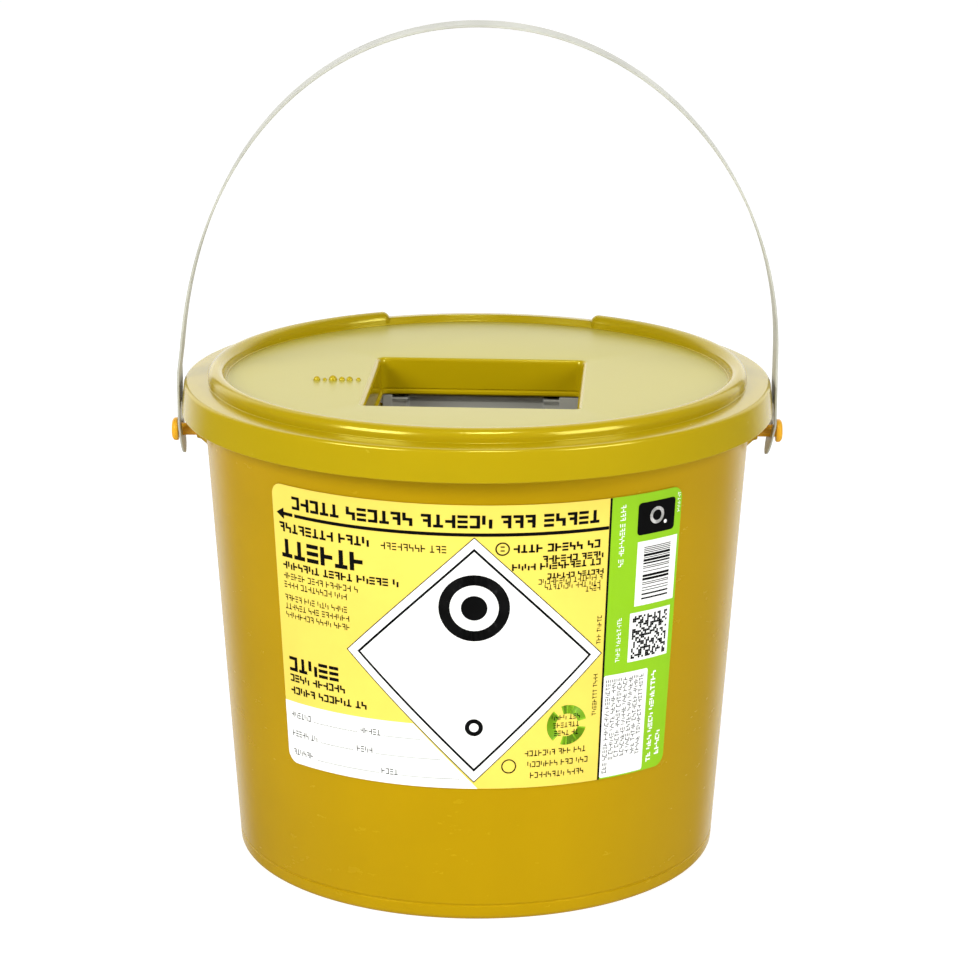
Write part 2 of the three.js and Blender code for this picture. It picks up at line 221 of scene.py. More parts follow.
def add_loops(bm, loops, closed_stack=False):
    """Skins a stack of closed loops that have the same number of points."""
    rows = [[bm.verts.new(p) for p in loop] for loop in loops]
    pairs = list(zip(rows, rows[1:]))
    if closed_stack:
        pairs.append((rows[-1], rows[0]))
    for low, high in pairs:
        for i in range(len(low)):
            j = (i + 1) % len(low)
            bm.faces.new((low[i], low[j], high[j], high[i]))
    return rows


def circle(radius, z, angles):
    return [(radius * math.cos(a), radius * math.sin(a), z) for a in angles]


def even_angles(count):
    return [2 * math.pi * i / count for i in range(count)]


def add_prism(bm, outline, z0, z1):
    """A flat outline pushed from z0 to z1."""
    low = [bm.verts.new((x, y, z0)) for x, y in outline]
    high = [bm.verts.new((x, y, z1)) for x, y in outline]
    for i in range(len(outline)):
        j = (i + 1) % len(outline)
        bm.faces.new((low[i], low[j], high[j], high[i]))
    bm.faces.new(low[::-1])
    bm.faces.new(high)
    return low + high


def add_block(bm, x, y, z):
    return add_prism(bm, [(x[0], y[0]), (x[1], y[0]), (x[1], y[1]), (x[0], y[1])], z[0], z[1])


def bevel(obj, width, segments=2):
    made = obj.modifiers.new("soft edges", "BEVEL")
    made.width = width * MM
    made.segments = segments
    made.limit_method = "ANGLE"
    made.angle_limit = math.radians(40)
    return obj


# ---- Materials ----

def maths(tree, operation, *values):
    """The result of a math node whose inputs are sockets or numbers."""
    node = tree.nodes.new("ShaderNodeMath")
    node.operation = operation
    for socket, value in zip(node.inputs, values):
        if isinstance(value, bpy.types.NodeSocket):
            tree.links.new(value, socket)
        else:
            socket.default_value = value
    return node.outputs["Value"]


class Nodes:
    """A short way to write a material's node tree."""

    def __init__(self, name):
        self.material = bpy.data.materials.new(name)
        self.material.use_nodes = True
        self.tree = self.material.node_tree
        self.shader = self.tree.nodes["Principled BSDF"]
        coordinates = self.tree.nodes.new("ShaderNodeTexCoord")
        self.place = coordinates.outputs["Object"]

    def new(self, kind, **inputs):
        node = self.tree.nodes.new("ShaderNode" + kind)
        for key, value in inputs.items():
            socket = node.inputs[key.replace("_", " ")]
            if isinstance(value, bpy.types.NodeSocket):
                self.tree.links.new(value, socket)
            else:
                socket.default_value = value
        return node

    def noise(self, scale, detail=3.0, roughness=0.55, stretch=None):
        place = self.place
        if stretch:
            mapping = self.new("Mapping", Vector=place, Scale=stretch)
            place = mapping.outputs["Vector"]
        node = self.new("TexNoise", Vector=place, Scale=scale, Detail=detail, Roughness=roughness)
        return node.outputs["Fac"]

    def ramp(self, value, low, high, to_low=0.0, to_high=1.0):
        """The value spread from low..high to to_low..to_high, and clamped."""
        ends = {"From_Min": low, "From_Max": high, "To_Min": to_low, "To_Max": to_high}
        return self.new("MapRange", Value=value, **ends).outputs["Result"]

    def multiply(self, first, *others):
        for other in others:
            first = maths(self.tree, "MULTIPLY", first, other)
        return first

    def mix(self, factor, first, second):
        node = self.tree.nodes.new("ShaderNodeMix")
        node.data_type = "RGBA"
        self.feed(node.inputs["Factor"], factor)
        self.feed(node.inputs["A"], first)
        self.feed(node.inputs["B"], second)
        return node.outputs["Result"]

    def feed(self, socket, value):
        if isinstance(value, bpy.types.NodeSocket):
            self.tree.links.new(value, socket)
        elif socket.type == "RGBA":
            socket.default_value = (*value, 1.0)
        else:
            socket.default_value = value

    def bump(self, *layers):
        """Stacked bumps, each a (height socket, depth in millimetres) pair."""
        normal = None
        for height, depth in layers:
            node = self.new("Bump", Height=height, Strength=1.0, Distance=depth * MM)
            if normal:
                self.tree.links.new(normal, node.inputs["Normal"])
            normal = node.outputs["Normal"]
        self.tree.links.new(normal, self.shader.inputs["Normal"])

    def set(self, **inputs):
        for key, value in inputs.items():
            self.feed(self.shader.inputs[key.replace("_", " ")], value)


MATTE_ROUGHNESS = 0.34
# Paler, greener colour of the lid's flat top: a painted sheen for the bright backdrop's reflection, not
# the plastic's own colour.
TOP_SHEEN_COLOUR = (0.41, 0.35, 0.05)


def shade(colour, factor):
    return tuple(min(1.0, c * factor) for c in colour)


def lid_face_mask(n):
    """1 on the lid's flat face inside the stacking ridge, which is moulded rougher and gets a paler colour
    as a painted sheen, and 0 elsewhere.
    """
    flat = n.new("VectorMath", Vector=n.place)
    flat.operation = "MULTIPLY"
    flat.inputs[1].default_value = (1, 1, 0)
    length = n.new("VectorMath", Vector=flat.outputs["Vector"])
    length.operation = "LENGTH"
    height = n.new("SeparateXYZ", Vector=n.place).outputs["Z"]
    ridge_foot = RIDGE_R - RIDGE_HALF_W
    inside = n.ramp(length.outputs["Value"], (ridge_foot - 1.5) * MM, ridge_foot * MM, 1, 0)
    above = n.ramp(height, (LID_TOP - 0.3) * MM, (LID_TOP - 0.1) * MM)
    below = n.ramp(height, (LID_TOP + 0.1) * MM, (LID_TOP + 0.3) * MM, 1, 0)
    return n.multiply(inside, above, below)


def moulded(name, colour, roughness=0.3, tint=None, variation=0.07, specular=0.5, depth=0.02, glow=0.0,
            matte_and_sheen=None):
    """Injection-moulded plastic: slow mottling, faint flow marks, fine grain, and a few handling scuffs.

    The matte mask marks an area that is moulded rougher and painted paler, a painted sheen standing in for
    the backdrop's reflection.
    """
    n = Nodes(name)
    cloudy = n.ramp(n.noise(14, 4), 0.3, 0.7)
    flow = n.ramp(n.noise(9, 3, stretch=(1, 1, 0.12)), 0.35, 0.65)
    scuffs = n.ramp(n.noise(60, 6, 0.7, stretch=(1, 1, 2.5)), 0.64, 0.72)
    grain = n.noise(1400, 2)
    base = n.mix(cloudy, shade(colour, 1 - variation), shade(colour, 1 + variation))
    streaked = n.mix(flow, base, shade(colour, 1 - 0.6 * variation))
    worn_and_sheen = n.mix(n.ramp(scuffs, 0, 1, 0, 0.05), streaked, shade(colour, 1.3))
    shine = n.ramp(scuffs, 0, 1, roughness, roughness + 0.14)
    # The masked flat top is moulded rougher (real) and painted paler (a painted sheen of the backdrop);
    # the scuffs above are real wear.
    if matte_and_sheen:
        mask = matte_and_sheen(n)
        shine = n.ramp(mask, 0, 1, shine, MATTE_ROUGHNESS)
        worn_and_sheen = n.mix(mask, worn_and_sheen, TOP_SHEEN_COLOUR)
    n.set(Base_Color=worn_and_sheen, Roughness=shine)
    n.set(Specular_IOR_Level=specular, IOR=1.49)
    if tint:
        n.set(Specular_Tint=tint)
    if glow:
        n.set(Subsurface_Weight=glow, Subsurface_Radius=(1.0, 0.6, 0.1), Subsurface_Scale=2.5 * MM)
    n.bump((n.noise(30, 3), depth * 4), (grain, depth * 0.6))
    return n.material


def printed(name, colour, roughness=0.42, variation=0.03, specular=0.3):
    """Ink or film on the label: slight unevenness and a fine ripple."""
    n = Nodes(name)
    patchy = n.ramp(n.noise(45, 4), 0.35, 0.65)
    n.set(Base_Color=n.mix(patchy, shade(colour, 1 - variation), shade(colour, 1 + variation)))
    n.set(Roughness=n.ramp(n.noise(220, 3), 0.3, 0.7, roughness - 0.05, roughness + 0.07))
    n.set(Specular_IOR_Level=specular)
    n.bump((n.noise(38, 2), 0.06), (n.noise(900, 2), 0.006))
    return n.material


def strip_metal(name, colour):
    """Plated steel strip: fine lengthwise brush lines, dull patches, and darker marks."""
    n = Nodes(name)
    brushed = n.noise(500, 3, stretch=(0.12, 3.0, 0.12))
    patches = n.ramp(n.noise(26, 4), 0.38, 0.66)
    specks = n.ramp(n.noise(210, 4, 0.7), 0.66, 0.72)
    base = n.mix(patches, shade(colour, 0.72), shade(colour, 0.92))
    n.set(Base_Color=n.mix(n.ramp(specks, 0, 1, 0, 0.4), base, shade(colour, 0.45)))
    n.set(Metallic=0.12, Specular_IOR_Level=0.25, Roughness=n.ramp(brushed, 0.3, 0.7, 0.34, 0.52))
    n.bump((brushed, 0.015), (n.noise(18, 2), 0.12))
    return n.material


# ---- Container body ----

def body_profile():
    """The bucket in section, from the centre of its underside, up the outside and down the inside."""
    floor_top = FOOT_H + FLOOR_T
    under_rim = RIM_Z - WALL
    return rounded([
        (0, FOOT_H),
        (BASE_R - FOOT_W - 1.5, FOOT_H, 0.8),
        (BASE_R - FOOT_W, 0, 0.6),
        (BASE_R, 0, 3.2),
        (wall_r(SEAM_Z), SEAM_Z, 0.1),
        (wall_r(SEAM_Z) - 0.35, SEAM_Z + 0.25, 0.1),
        (wall_r(SEAM_Z) - 0.3, SEAM_Z + 0.75, 0.1),
        (wall_r(SEAM_Z + 1.3), SEAM_Z + 1.3, 0.4),
        (wall_r(100), 100),
        (wall_r(under_rim), under_rim, 1.0),
        (RIM_R - WALL, under_rim, 0.5),
        (RIM_R - WALL, RIM_LIP_Z, 0.5),
        (RIM_R, RIM_LIP_Z, 0.5),
        (RIM_R, RIM_Z, 0.9),
        (wall_r(RIM_Z) - WALL, RIM_Z, 0.7),
        (wall_r(100) - WALL, 100),
        (wall_r(floor_top) - WALL, floor_top, 4.0),
        (0, floor_top),
    ])


def add_gusset(bm, angle):
    """A thin upright web between the wall and the turned-down rim."""
    foot_r = wall_r(GUSSET_FOOT_Z)
    in_rim, in_plate = RIM_R - WALL + 0.3, RIM_Z - WALL + 0.3
    web = [
        (foot_r - 0.4, GUSSET_FOOT_Z),
        (foot_r + 0.5, GUSSET_FOOT_Z),
        (in_rim, RIM_LIP_Z),
        (in_rim, in_plate),
        (foot_r - 0.4, in_plate),
    ]
    verts = add_prism(bm, web, -GUSSET_T / 2, GUSSET_T / 2)
    upright = Matrix(((1, 0, 0), (0, 0, -1), (0, 1, 0)))
    turn = Matrix.Rotation(math.radians(angle), 3, "Z") @ upright
    bmesh.ops.transform(bm, matrix=turn.to_4x4(), verts=verts)


def add_on_pivot(bm, profile, side, count=64):
    """A solid of revolution about the pivot line from (radius, distance from the centre) points."""
    loops = []
    for radius, x in profile:
        around = [(radius * math.sin(a), PIVOT_Z + radius * math.cos(a)) for a in even_angles(count)]
        loops.append([(side * x, y, z) for y, z in around])
    add_loops(bm, loops)


def add_boss(bm, side):
    """The tapered boss that a stud goes into, with a soft foot on the wall."""
    start = wall_r(PIVOT_Z) - 0.9
    profile = rounded([
        (0, start),
        (8.2, start),
        (6.4, start + 1.1, 1.2),
        (4.2, start + 3.6, 2.0),
        (3.8, BOSS_TIP_X, 0.5),
        (0, BOSS_TIP_X),
    ])
    add_on_pivot(bm, profile, side)


def make_body(material):
    bm = bmesh.new()
    angles = even_angles(256)
    add_loops(bm, [circle(r, z, angles) for r, z in body_profile()])
    for angle in GUSSET_ANGLES:
        add_gusset(bm, angle)
    for side in (-1, 1):
        add_boss(bm, side)
    return finish_mesh("body_shell", bm, material, "container", ["container_body"])


def make_stud(side, word, material):
    """A push-in stud: a domed round head, the neck the handle turns on, and a flange inside the wall."""
    bm = bmesh.new()
    profile = rounded([
        (0, 110.4),
        (5.5, 110.4, 0.4),
        (5.5, 111.7, 0.3),
        (2.6, 111.7),
        (2.6, 119.5, 0.5),
        (2.6, 126.25, 0.2),
        (4.9, 126.25, 0.7),
        (4.85, 128.2, 1.2),
        (3.6, 129.05, 1.4),
        (0, 129.2),
    ])
    add_on_pivot(bm, profile, side)
    return finish_mesh(f"stud_{word}", bm, material, "container", [f"handle_stud_{word}"])


# ---- Lid ----

def hole_loop(offset, z, widen=0.0, corner_steps=8, side_steps=36):
    """The chute's outline at height z, grown by offset all round and by widen at both sides.

    The front wall slopes back on its way down.
    """
    slope_top = LID_TOP - 1
    depth = min(max((slope_top - z) / (slope_top - CHUTE_BOTTOM), 0), 1)
    front = CHUTE_FRONT + depth * (CHUTE_SLOT_FRONT - CHUTE_FRONT)
    x1 = CHUTE_HALF_W + offset + widen
    x0 = -x1
    y0, y1 = front - offset, CHUTE_BACK + offset
    radius = max(CHUTE_CORNER + offset, 0.5)
    corners = [(x1 - radius, y1 - radius, 0), (x0 + radius, y1 - radius, 90),
               (x0 + radius, y0 + radius, 180), (x1 - radius, y0 + radius, 270)]
    points = []
    for i, (cx, cy, start) in enumerate(corners):
        for k in range(corner_steps + 1):
            angle = math.radians(start + 90 * k / corner_steps)
            points.append((cx + radius * math.cos(angle), cy + radius * math.sin(angle), z))
        nx, ny, nstart = corners[(i + 1) % 4]
        angle = math.radians(nstart)
        end = (nx + radius * math.cos(angle), ny + radius * math.sin(angle))
        last = points[-1]
        for k in range(1, side_steps):
            t = k / side_steps
            points.append((last[0] + t * (end[0] - last[0]), last[1] + t * (end[1] - last[1]), z))
    return points


def lid_outer_profile():
    """From the skirt's lower edge up over the rim and in across the low bead, as (radius, height)."""
    return rounded([
        (SKIRT_R - SKIRT_T, SKIRT_BOTTOM_Z),
        (SKIRT_R, SKIRT_BOTTOM_Z, 0.5),
        (SKIRT_TOP_R, LID_TOP, 1.5),
        (113.0, LID_TOP, 0.8),
        (111.6, LID_TOP + BEAD, 0.8),
        (107.7, LID_TOP + BEAD, 0.8),
        (106.3, LID_TOP, 0.8),
        (98.0, LID_TOP),
    ])


def lid_under_profile():
    """From the middle of the lid's underside out, round the plug ring, to the skirt's lower edge."""
    return rounded([
        (98.0, LID_UNDER),
        (PLUG_INNER, LID_UNDER, 0.5),
        (PLUG_INNER - PLUG_LEAN, PLUG_BOTTOM, 0.4),
        (PLUG_OUTER - PLUG_LEAN, PLUG_BOTTOM, 0.4),
        (PLUG_OUTER, LID_UNDER, 0.5),
        (SKIRT_TOP_R - SKIRT_T, LID_UNDER, 1.0),
        (SKIRT_R - SKIRT_T, SKIRT_BOTTOM_Z),
    ])


def rounding(radius, depth):
    """How far a rounded top edge stands back from the wall, at a depth under its top."""
    rest = max(radius - depth, 0)
    return radius - math.sqrt(radius * radius - rest * rest)


def mouth_loops(steps=10):
    """The chute's top edge: a small rounding in front and behind, and a wide flare at both sides."""
    loops = []
    for k in range(steps + 1):
        depth = CHUTE_FLARE * (1 - math.cos(math.pi / 2 * k / steps))
        offset = rounding(MOUTH_ROUND, depth)
        loops.append(hole_loop(offset, LID_TOP - depth, rounding(CHUTE_FLARE, depth) - offset))
    return loops


def chute_loops():
    """Down the inside of the chute, over its bottom edge with a groove and a lip, and up the outside."""
    loops = mouth_loops()
    for z in (199, 197, 195, 193, 190.8):
        loops.append(hole_loop(0, z))
    lip = [(0, 190.6), (0.5, 190.4), (0.5, 190.2), (-0.6, 189.9), (-0.95, 189.6), (-1.0, 188.6),
           (-0.6, CHUTE_BOTTOM)]
    loops += [hole_loop(offset, z) for offset, z in lip]
    loops += [hole_loop(CHUTE_WALL, z) for z in (CHUTE_BOTTOM, 192, 196, 199, LID_UNDER - 0.8)]
    loops.append(hole_loop(CHUTE_WALL + 0.8, LID_UNDER))
    return loops


def ridge_loop(offset, z, steps=220, cap_steps=16):
    """The plan outline at a distance from the ridge's middle line: two arcs joined by round ends."""
    first, last = math.radians(90 + RIDGE_GAP), math.radians(450 - RIDGE_GAP)
    outer, inner = [], []
    for i in range(steps + 1):
        a = first + (last - first) * i / steps
        outer.append(((RIDGE_R + offset) * math.cos(a), (RIDGE_R + offset) * math.sin(a), z))
        inner.append(((RIDGE_R - offset) * math.cos(a), (RIDGE_R - offset) * math.sin(a), z))

    def cap(angle, turn):
        cx, cy = RIDGE_R * math.cos(angle), RIDGE_R * math.sin(angle)
        spokes = [angle + turn + math.pi * k / cap_steps for k in range(1, cap_steps)]
        return [(cx + offset * math.cos(s), cy + offset * math.sin(s), z) for s in spokes]

    return outer + cap(last, 0) + inner[::-1] + cap(first, math.pi)


def add_ridge(bm):
    """The stacking ridge, with soft edges and a small fillet along its feet."""
    foot = rounded([
        (RIDGE_HALF_W + 0.7, LID_TOP - 0.4),
        (RIDGE_HALF_W + 0.7, LID_TOP + 0.02),
        (RIDGE_HALF_W, LID_TOP + 0.02, 0.6),
        (RIDGE_HALF_W, RIDGE_SPRING),
    ])
    quarter = [math.pi / 2 * i / 14 for i in range(1, 15)]
    rise = RIDGE_TOP - RIDGE_SPRING
    profile = foot + [(RIDGE_HALF_W * math.cos(a), RIDGE_SPRING + rise * math.sin(a)) for a in quarter]
    add_loops(bm, [ridge_loop(0, LID_TOP - 0.4)] + [ridge_loop(d, z) for d, z in profile])


def add_rails(bm):
    """The two door rails under the plate, and the cross walls at their ends."""
    web = RAIL_INNER + RAIL_WEB
    into_web = RAIL_INNER + 0.3
    door_top = DOOR_Z + DOOR_T
    sections = [
        (RAIL_INNER, web, RAIL_BOTTOM, LID_UNDER + 0.3),
        (RAIL_INNER - RAIL_LEDGE, into_web, RAIL_BOTTOM, DOOR_Z - 0.3),
        (RAIL_INNER - RAIL_BEAD, into_web, door_top + 0.3, door_top + 1.6),
    ]
    for side in (-1, 1):
        for x0, x1, z0, z1 in sections:
            add_block(bm, sorted((side * x0, side * x1)), (RAIL_FRONT, RAIL_BACK), (z0, z1))
    add_block(bm, (-web, web), (RAIL_FRONT - STOP_T, RAIL_FRONT + 0.3), (RAIL_BOTTOM, CHUTE_BOTTOM + 0.8))
    add_block(bm, (-web, web), (RAIL_BACK - STOP_T, RAIL_BACK), (RAIL_BOTTOM, door_top + 3))


def add_pips(bm):
    """A row of raised domes beside the chute, level with the container's own X axis."""
    for along, radius in PIPS:
        x = PIP_ROW_X + along * math.cos(LID_TURN)
        y = PIP_ROW_Y - along * math.sin(LID_TURN)
        rise, sunk = PIP_RISE * radius, LID_TOP - 0.4
        dome = [(radius * math.cos(a), LID_TOP + rise * math.sin(a)) for a in even_angles(32)[:8]]
        profile = [(0, sunk), (radius, sunk), *dome, (0, LID_TOP + rise)]
        rings = [circle(r, z, even_angles(28)) for r, z in profile]
        add_loops(bm, [[(x + dx, y + dy, z) for dx, dy, z in ring] for ring in rings])


def make_lid(material):
    bm = bmesh.new()
    mouth = mouth_loops()[0]
    angles = [math.atan2(y, x) for x, y, z in mouth]
    top = [circle(r, z, angles) for r, z in lid_outer_profile()]
    under = [circle(r, z, angles) for r, z in lid_under_profile()]
    add_loops(bm, top + chute_loops() + under[:-1], closed_stack=True)
    add_ridge(bm)
    add_rails(bm)
    add_pips(bm)
    bmesh.ops.rotate(bm, matrix=Matrix.Rotation(LID_TURN, 3, "Z"), verts=bm.verts)
    return finish_mesh("lid_shell", bm, material, "lid", ["lid"])


# ---- Sliding door ----

def door_edge(half_w, back):
    """The door's front edge from left to right, moved back by a distance, with its finger recess."""
    edge, corner = DOOR_FRONT + back, 0.7
    step, grip = edge + GRIP_DEEP, GRIP_HALF_W + back
    left, right = GRIP_CENTRE - grip, GRIP_CENTRE + grip
    return [(-half_w, edge), (left, edge, corner), (left, step, corner), (right, step, corner),
            (right, edge, corner), (half_w, edge)]


def make_door(material):
    bm = bmesh.new()
    half, corner = DOOR_HALF_W, DOOR_CORNER
    plate = door_edge(half, 0) + [(half, DOOR_BACK, corner), (-half, DOOR_BACK, corner)]
    add_prism(bm, rounded(plate, closed=True), DOOR_Z, DOOR_Z + DOOR_T)
    outline = rounded(door_edge(LIP_HALF_W, 0)) + rounded(door_edge(LIP_HALF_W, DOOR_T))[::-1]
    add_prism(bm, outline, LIP_BOTTOM, LIP_TOP - NOTCH)
    face, back = DOOR_FRONT + GRIP_DEEP, DOOR_FRONT + GRIP_DEEP + DOOR_T
    grip = (GRIP_CENTRE - GRIP_HALF_W, GRIP_CENTRE + GRIP_HALF_W)
    add_block(bm, grip, (face, back), (LIP_TOP - NOTCH - 0.3, LIP_TOP))
    for side in (-1, 1):
        post = sorted((GRIP_CENTRE + side * (NOTCH_HALF_W + 0.15), side * LIP_HALF_W))
        add_block(bm, post, (DOOR_FRONT - 0.15, DOOR_FRONT + DOOR_T), (LIP_BOTTOM + 0.2, LIP_TOP))
    door_top = DOOR_Z + DOOR_T
    for row in range(RIBS):
        y = face + 11 + RIB_PITCH * row
        add_block(bm, (-RIB_HALF_W, RIB_HALF_W), (y, y + RIB_W), (door_top - 0.3, door_top + RIB_H))
    bmesh.ops.rotate(bm, matrix=Matrix.Rotation(LID_TURN, 3, "Z"), verts=bm.verts)
    return bevel(finish_mesh("door_slide_plate", bm, material, "door", ["sliding_door"]), 0.2)


# ---- Handle ----

def leg_stations(lean):
    """One paddle and straight leg, from the tip up, as (x, z, normal angle, half width)."""
    tip_steps, stations = 14, []
    for i in range(tip_steps + 1):
        turn = math.pi / 2 * i / tip_steps
        down = PADDLE_END - PADDLE_HALF_W * (1 - math.cos(turn))
        half = max(PADDLE_HALF_W * math.sin(turn), 0.3)
        stations.append((STRIP_X - (PADDLE_BEND + down) * math.tan(lean), PIVOT_Z - down, lean, half))
    stations.append((STRIP_X, PIVOT_Z + PADDLE_BEND, lean / 2, PADDLE_HALF_W))
    leg = [
        (PADDLE_BEND + 2, PADDLE_HALF_W),
        (PADDLE_TOP - 4, PADDLE_HALF_W),
        (PADDLE_TOP - 1.5, PADDLE_HALF_W - 0.25),
        (PADDLE_TOP, STRIP_W / 2),
    ]
    return stations + [(STRIP_X, PIVOT_Z + up, 0.0, half) for up, half in leg]


def arch_stations():
    """The arch from right to left. Its left leg is bowed in a little."""
    low, crown_z = PIVOT_Z + PADDLE_TOP, ARCH_Z + ARCH_RISE
    steps, places = 120, []
    for i in range(steps + 1):
        t = math.pi * i / steps
        x, z = STRIP_X * math.cos(t), ARCH_Z + ARCH_RISE * math.sin(t)
        bow = LEFT_BOW * math.sin(math.pi * ((z - low) / (crown_z - low)) ** 0.75)
        places.append((x + bow if x < 0 else x, z))
    stations = []
    for i, (x, z) in enumerate(places):
        before, after = places[max(i - 1, 0)], places[min(i + 1, steps)]
        normal = math.atan2(before[0] - after[0], after[1] - before[1])
        stations.append((x, z, normal, STRIP_W / 2))
    return stations


def handle_stations():
    """Points along the strip's middle line from the right tip to the left."""
    left = [(-x, z, math.pi - normal, half) for x, z, normal, half in leg_stations(LEFT_LEAN)]
    return leg_stations(RIGHT_LEAN) + arch_stations() + left[::-1]


def strip_section(x, z, normal, half):
    """The strip's cross-section at a station, with its long edges taken off."""
    off = min(STRIP_EDGE, 0.5 * half)
    deep = STRIP_T / 2
    side = deep - STRIP_EDGE
    corners = [(half - off, deep), (half, side), (half, -side), (half - off, -deep),
               (off - half, -deep), (-half, -side), (-half, side), (off - half, deep)]
    across, up = math.cos(normal), math.sin(normal)
    return [(x + d * across, y, z + d * up) for y, d in corners]


def keyhole_cutter(side):
    """A prism of the keyhole's outline: a round hole for the stud's head above a slot for its neck."""
    meet = math.asin(KEYHOLE_SLOT / KEYHOLE_R)
    low = [math.pi + math.pi * i / 16 for i in range(17)]
    high = [meet - math.pi / 2 + (2 * math.pi - 2 * meet) * i / 32 for i in range(33)]
    outline = [(KEYHOLE_SLOT * math.cos(a), KEYHOLE_SLOT * math.sin(a)) for a in low]
    outline += [(KEYHOLE_R * math.cos(a), KEYHOLE_UP + KEYHOLE_R * math.sin(a)) for a in high]
    bm = bmesh.new()
    verts = add_prism(bm, outline, -5, 5)
    place = Matrix(((0, 0, 1, side * STRIP_X), (1, 0, 0, 0), (0, 1, 0, PIVOT_Z), (0, 0, 0, 1)))
    bmesh.ops.transform(bm, matrix=place, verts=verts)
    return mesh_object("keyhole_cutter", bm)


def apply_modifiers(obj):
    bpy.context.view_layer.update()
    graph = bpy.context.evaluated_depsgraph_get()
    result = bpy.data.meshes.new_from_object(obj.evaluated_get(graph))
    obj.modifiers.clear()
    obj.data = result


def make_handle(material):
    bm = bmesh.new()
    rows = add_loops(bm, [strip_section(*s) for s in handle_stations()])
    bm.faces.new(rows[0][::-1])
    bm.faces.new(rows[-1])
    obj = finish_mesh("handle_band", bm, material, "handle", ["handle_strip"], sharp=25)
    cutters = [keyhole_cutter(side) for side in (-1, 1)]
    for cutter in cutters:
        made = obj.modifiers.new("keyhole", "BOOLEAN")
        made.operation = "DIFFERENCE"
        made.solver = "EXACT"
        made.object = cutter
    apply_modifiers(obj)
    for cutter in cutters:
        bpy.data.objects.remove(cutter)
    obj.data.set_sharp_from_angle(angle=math.radians(25))
    return obj


# ---- Label ----

def on_wall(u, v, lift):
    """A place on the label, u millimetres round from the front at mid height and v up, above the wall."""
    angle = u / LABEL_R
    radius = wall_r(v) + lift
    return (radius * math.sin(angle), -radius * math.cos(angle), v)


def crown(u):
    """How far the label's lines stand above their own v at a place u: a flat arch with a slight tilt."""
    return 0.9 - 0.5 * (u / LABEL_HALF) ** 2 - 0.0057 * u


def wrap(name, shapes, lift, thickness, material):
    """Flat shapes in label coordinates as thin skins that follow the wall."""
    bm = bmesh.new()
    for shape in shapes:
        bm.faces.new([bm.verts.new((u, v, 0)) for u, v in shape])
    bmesh.ops.recalc_face_normals(bm, faces=bm.faces)
    bmesh.ops.triangulate(bm, faces=[f for f in bm.faces if len(f.verts) > 4])
    cut_at = -LABEL_HALF + FACET / 2
    while cut_at < LABEL_HALF:
        everything = bm.verts[:] + bm.edges[:] + bm.faces[:]
        bmesh.ops.bisect_plane(bm, geom=everything, plane_co=(cut_at, 0, 0), plane_no=(1, 0, 0), dist=1e-5)
        cut_at += FACET
    flat = bm.faces[:]
    made = bmesh.ops.extrude_face_region(bm, geom=flat, use_keep_orig=True)
    raised = {v for v in made["geom"] if isinstance(v, bmesh.types.BMVert)}
    for vert in bm.verts:
        u, v, _ = vert.co
        out = lift + (thickness if vert in raised else 0)
        vert.co = on_wall(u, v + crown(u), out)
    return finish_mesh(name, bm, material, "container", sharp=50)


def box_shape(u0, u1, v0, v1):
    return [(u0, v0), (u1, v0), (u1, v1), (u0, v1)]


def round_box(u0, u1, v0, v1, radius):
    return rounded([(u0, v0, radius), (u1, v0, radius), (u1, v1, radius), (u0, v1, radius)], closed=True)


def frame_strokes(points, width):
    """A closed line of that width, mitred at its corners, as one box a side."""
    count = len(points)
    centre = sum((Vector(p) for p in points), Vector((0, 0))) / count
    shapes = []
    for i in range(count):
        a, b = Vector(points[i]), Vector(points[(i + 1) % count])
        normal = (b - a).orthogonal().normalized()
        distance = abs((a - centre).dot(normal))
        keep = 1 - width / distance
        inner = [centre + (p - centre) * keep for p in (b, a)]
        shapes.append([tuple(p) for p in (a, b, *inner)])
    return shapes


def ring(u, v, outer, inner, start=0.0, end=360.0, steps=40):
    """A round band, or a part of one, as a row of small boxes."""
    shapes = []
    for i in range(steps):
        a, b = (math.radians(start + (end - start) * k / steps) for k in (i, i + 1))
        corners = [(inner, a), (outer, a), (outer, b), (inner, b)]
        shapes.append([(u + r * math.cos(turn), v + r * math.sin(turn)) for r, turn in corners])
    return shapes


def disc_shape(u, v, radius, steps=28):
    return [(u + radius * math.cos(a), v + radius * math.sin(a)) for a in even_angles(steps)]


def marks(wide, high):
    """Abstract marks that stand in for print, as (left, right, bottom, top) strokes in a unit cell."""
    left, right, middle = (0, wide), (1 - wide, 1), (0.5 - wide / 2, 0.5 + wide / 2)
    low, top, waist = (0, high), (1 - high, 1), (0.5 - high / 2, 0.5 + high / 2)
    return [
        [(*right, 0, 1), (0, 1 - wide, *top), (0.2, 1 - wide, *waist)],
        [(0, 1, *top), (0, 1, *low), (*right, high, 1 - high)],
        [(*left, 0, 1), (wide, 1, *waist)],
        [(0, 1, *top), (0, 1, *waist), (0, 1, *low)],
        [(*right, 0, 1), (0, 1 - wide, *waist)],
        [(*left, 0.3, 1), (*right, 0, 0.7)],
        [(*left, waist[1], 1), (0, 1, *waist), (*right, 0, waist[0])],
        [(*middle, high, 1), (0, 1, *low)],
    ]


LIGHT_MARKS = marks(0.24, 0.16)
BOLD_MARKS = marks(0.34, 0.22)


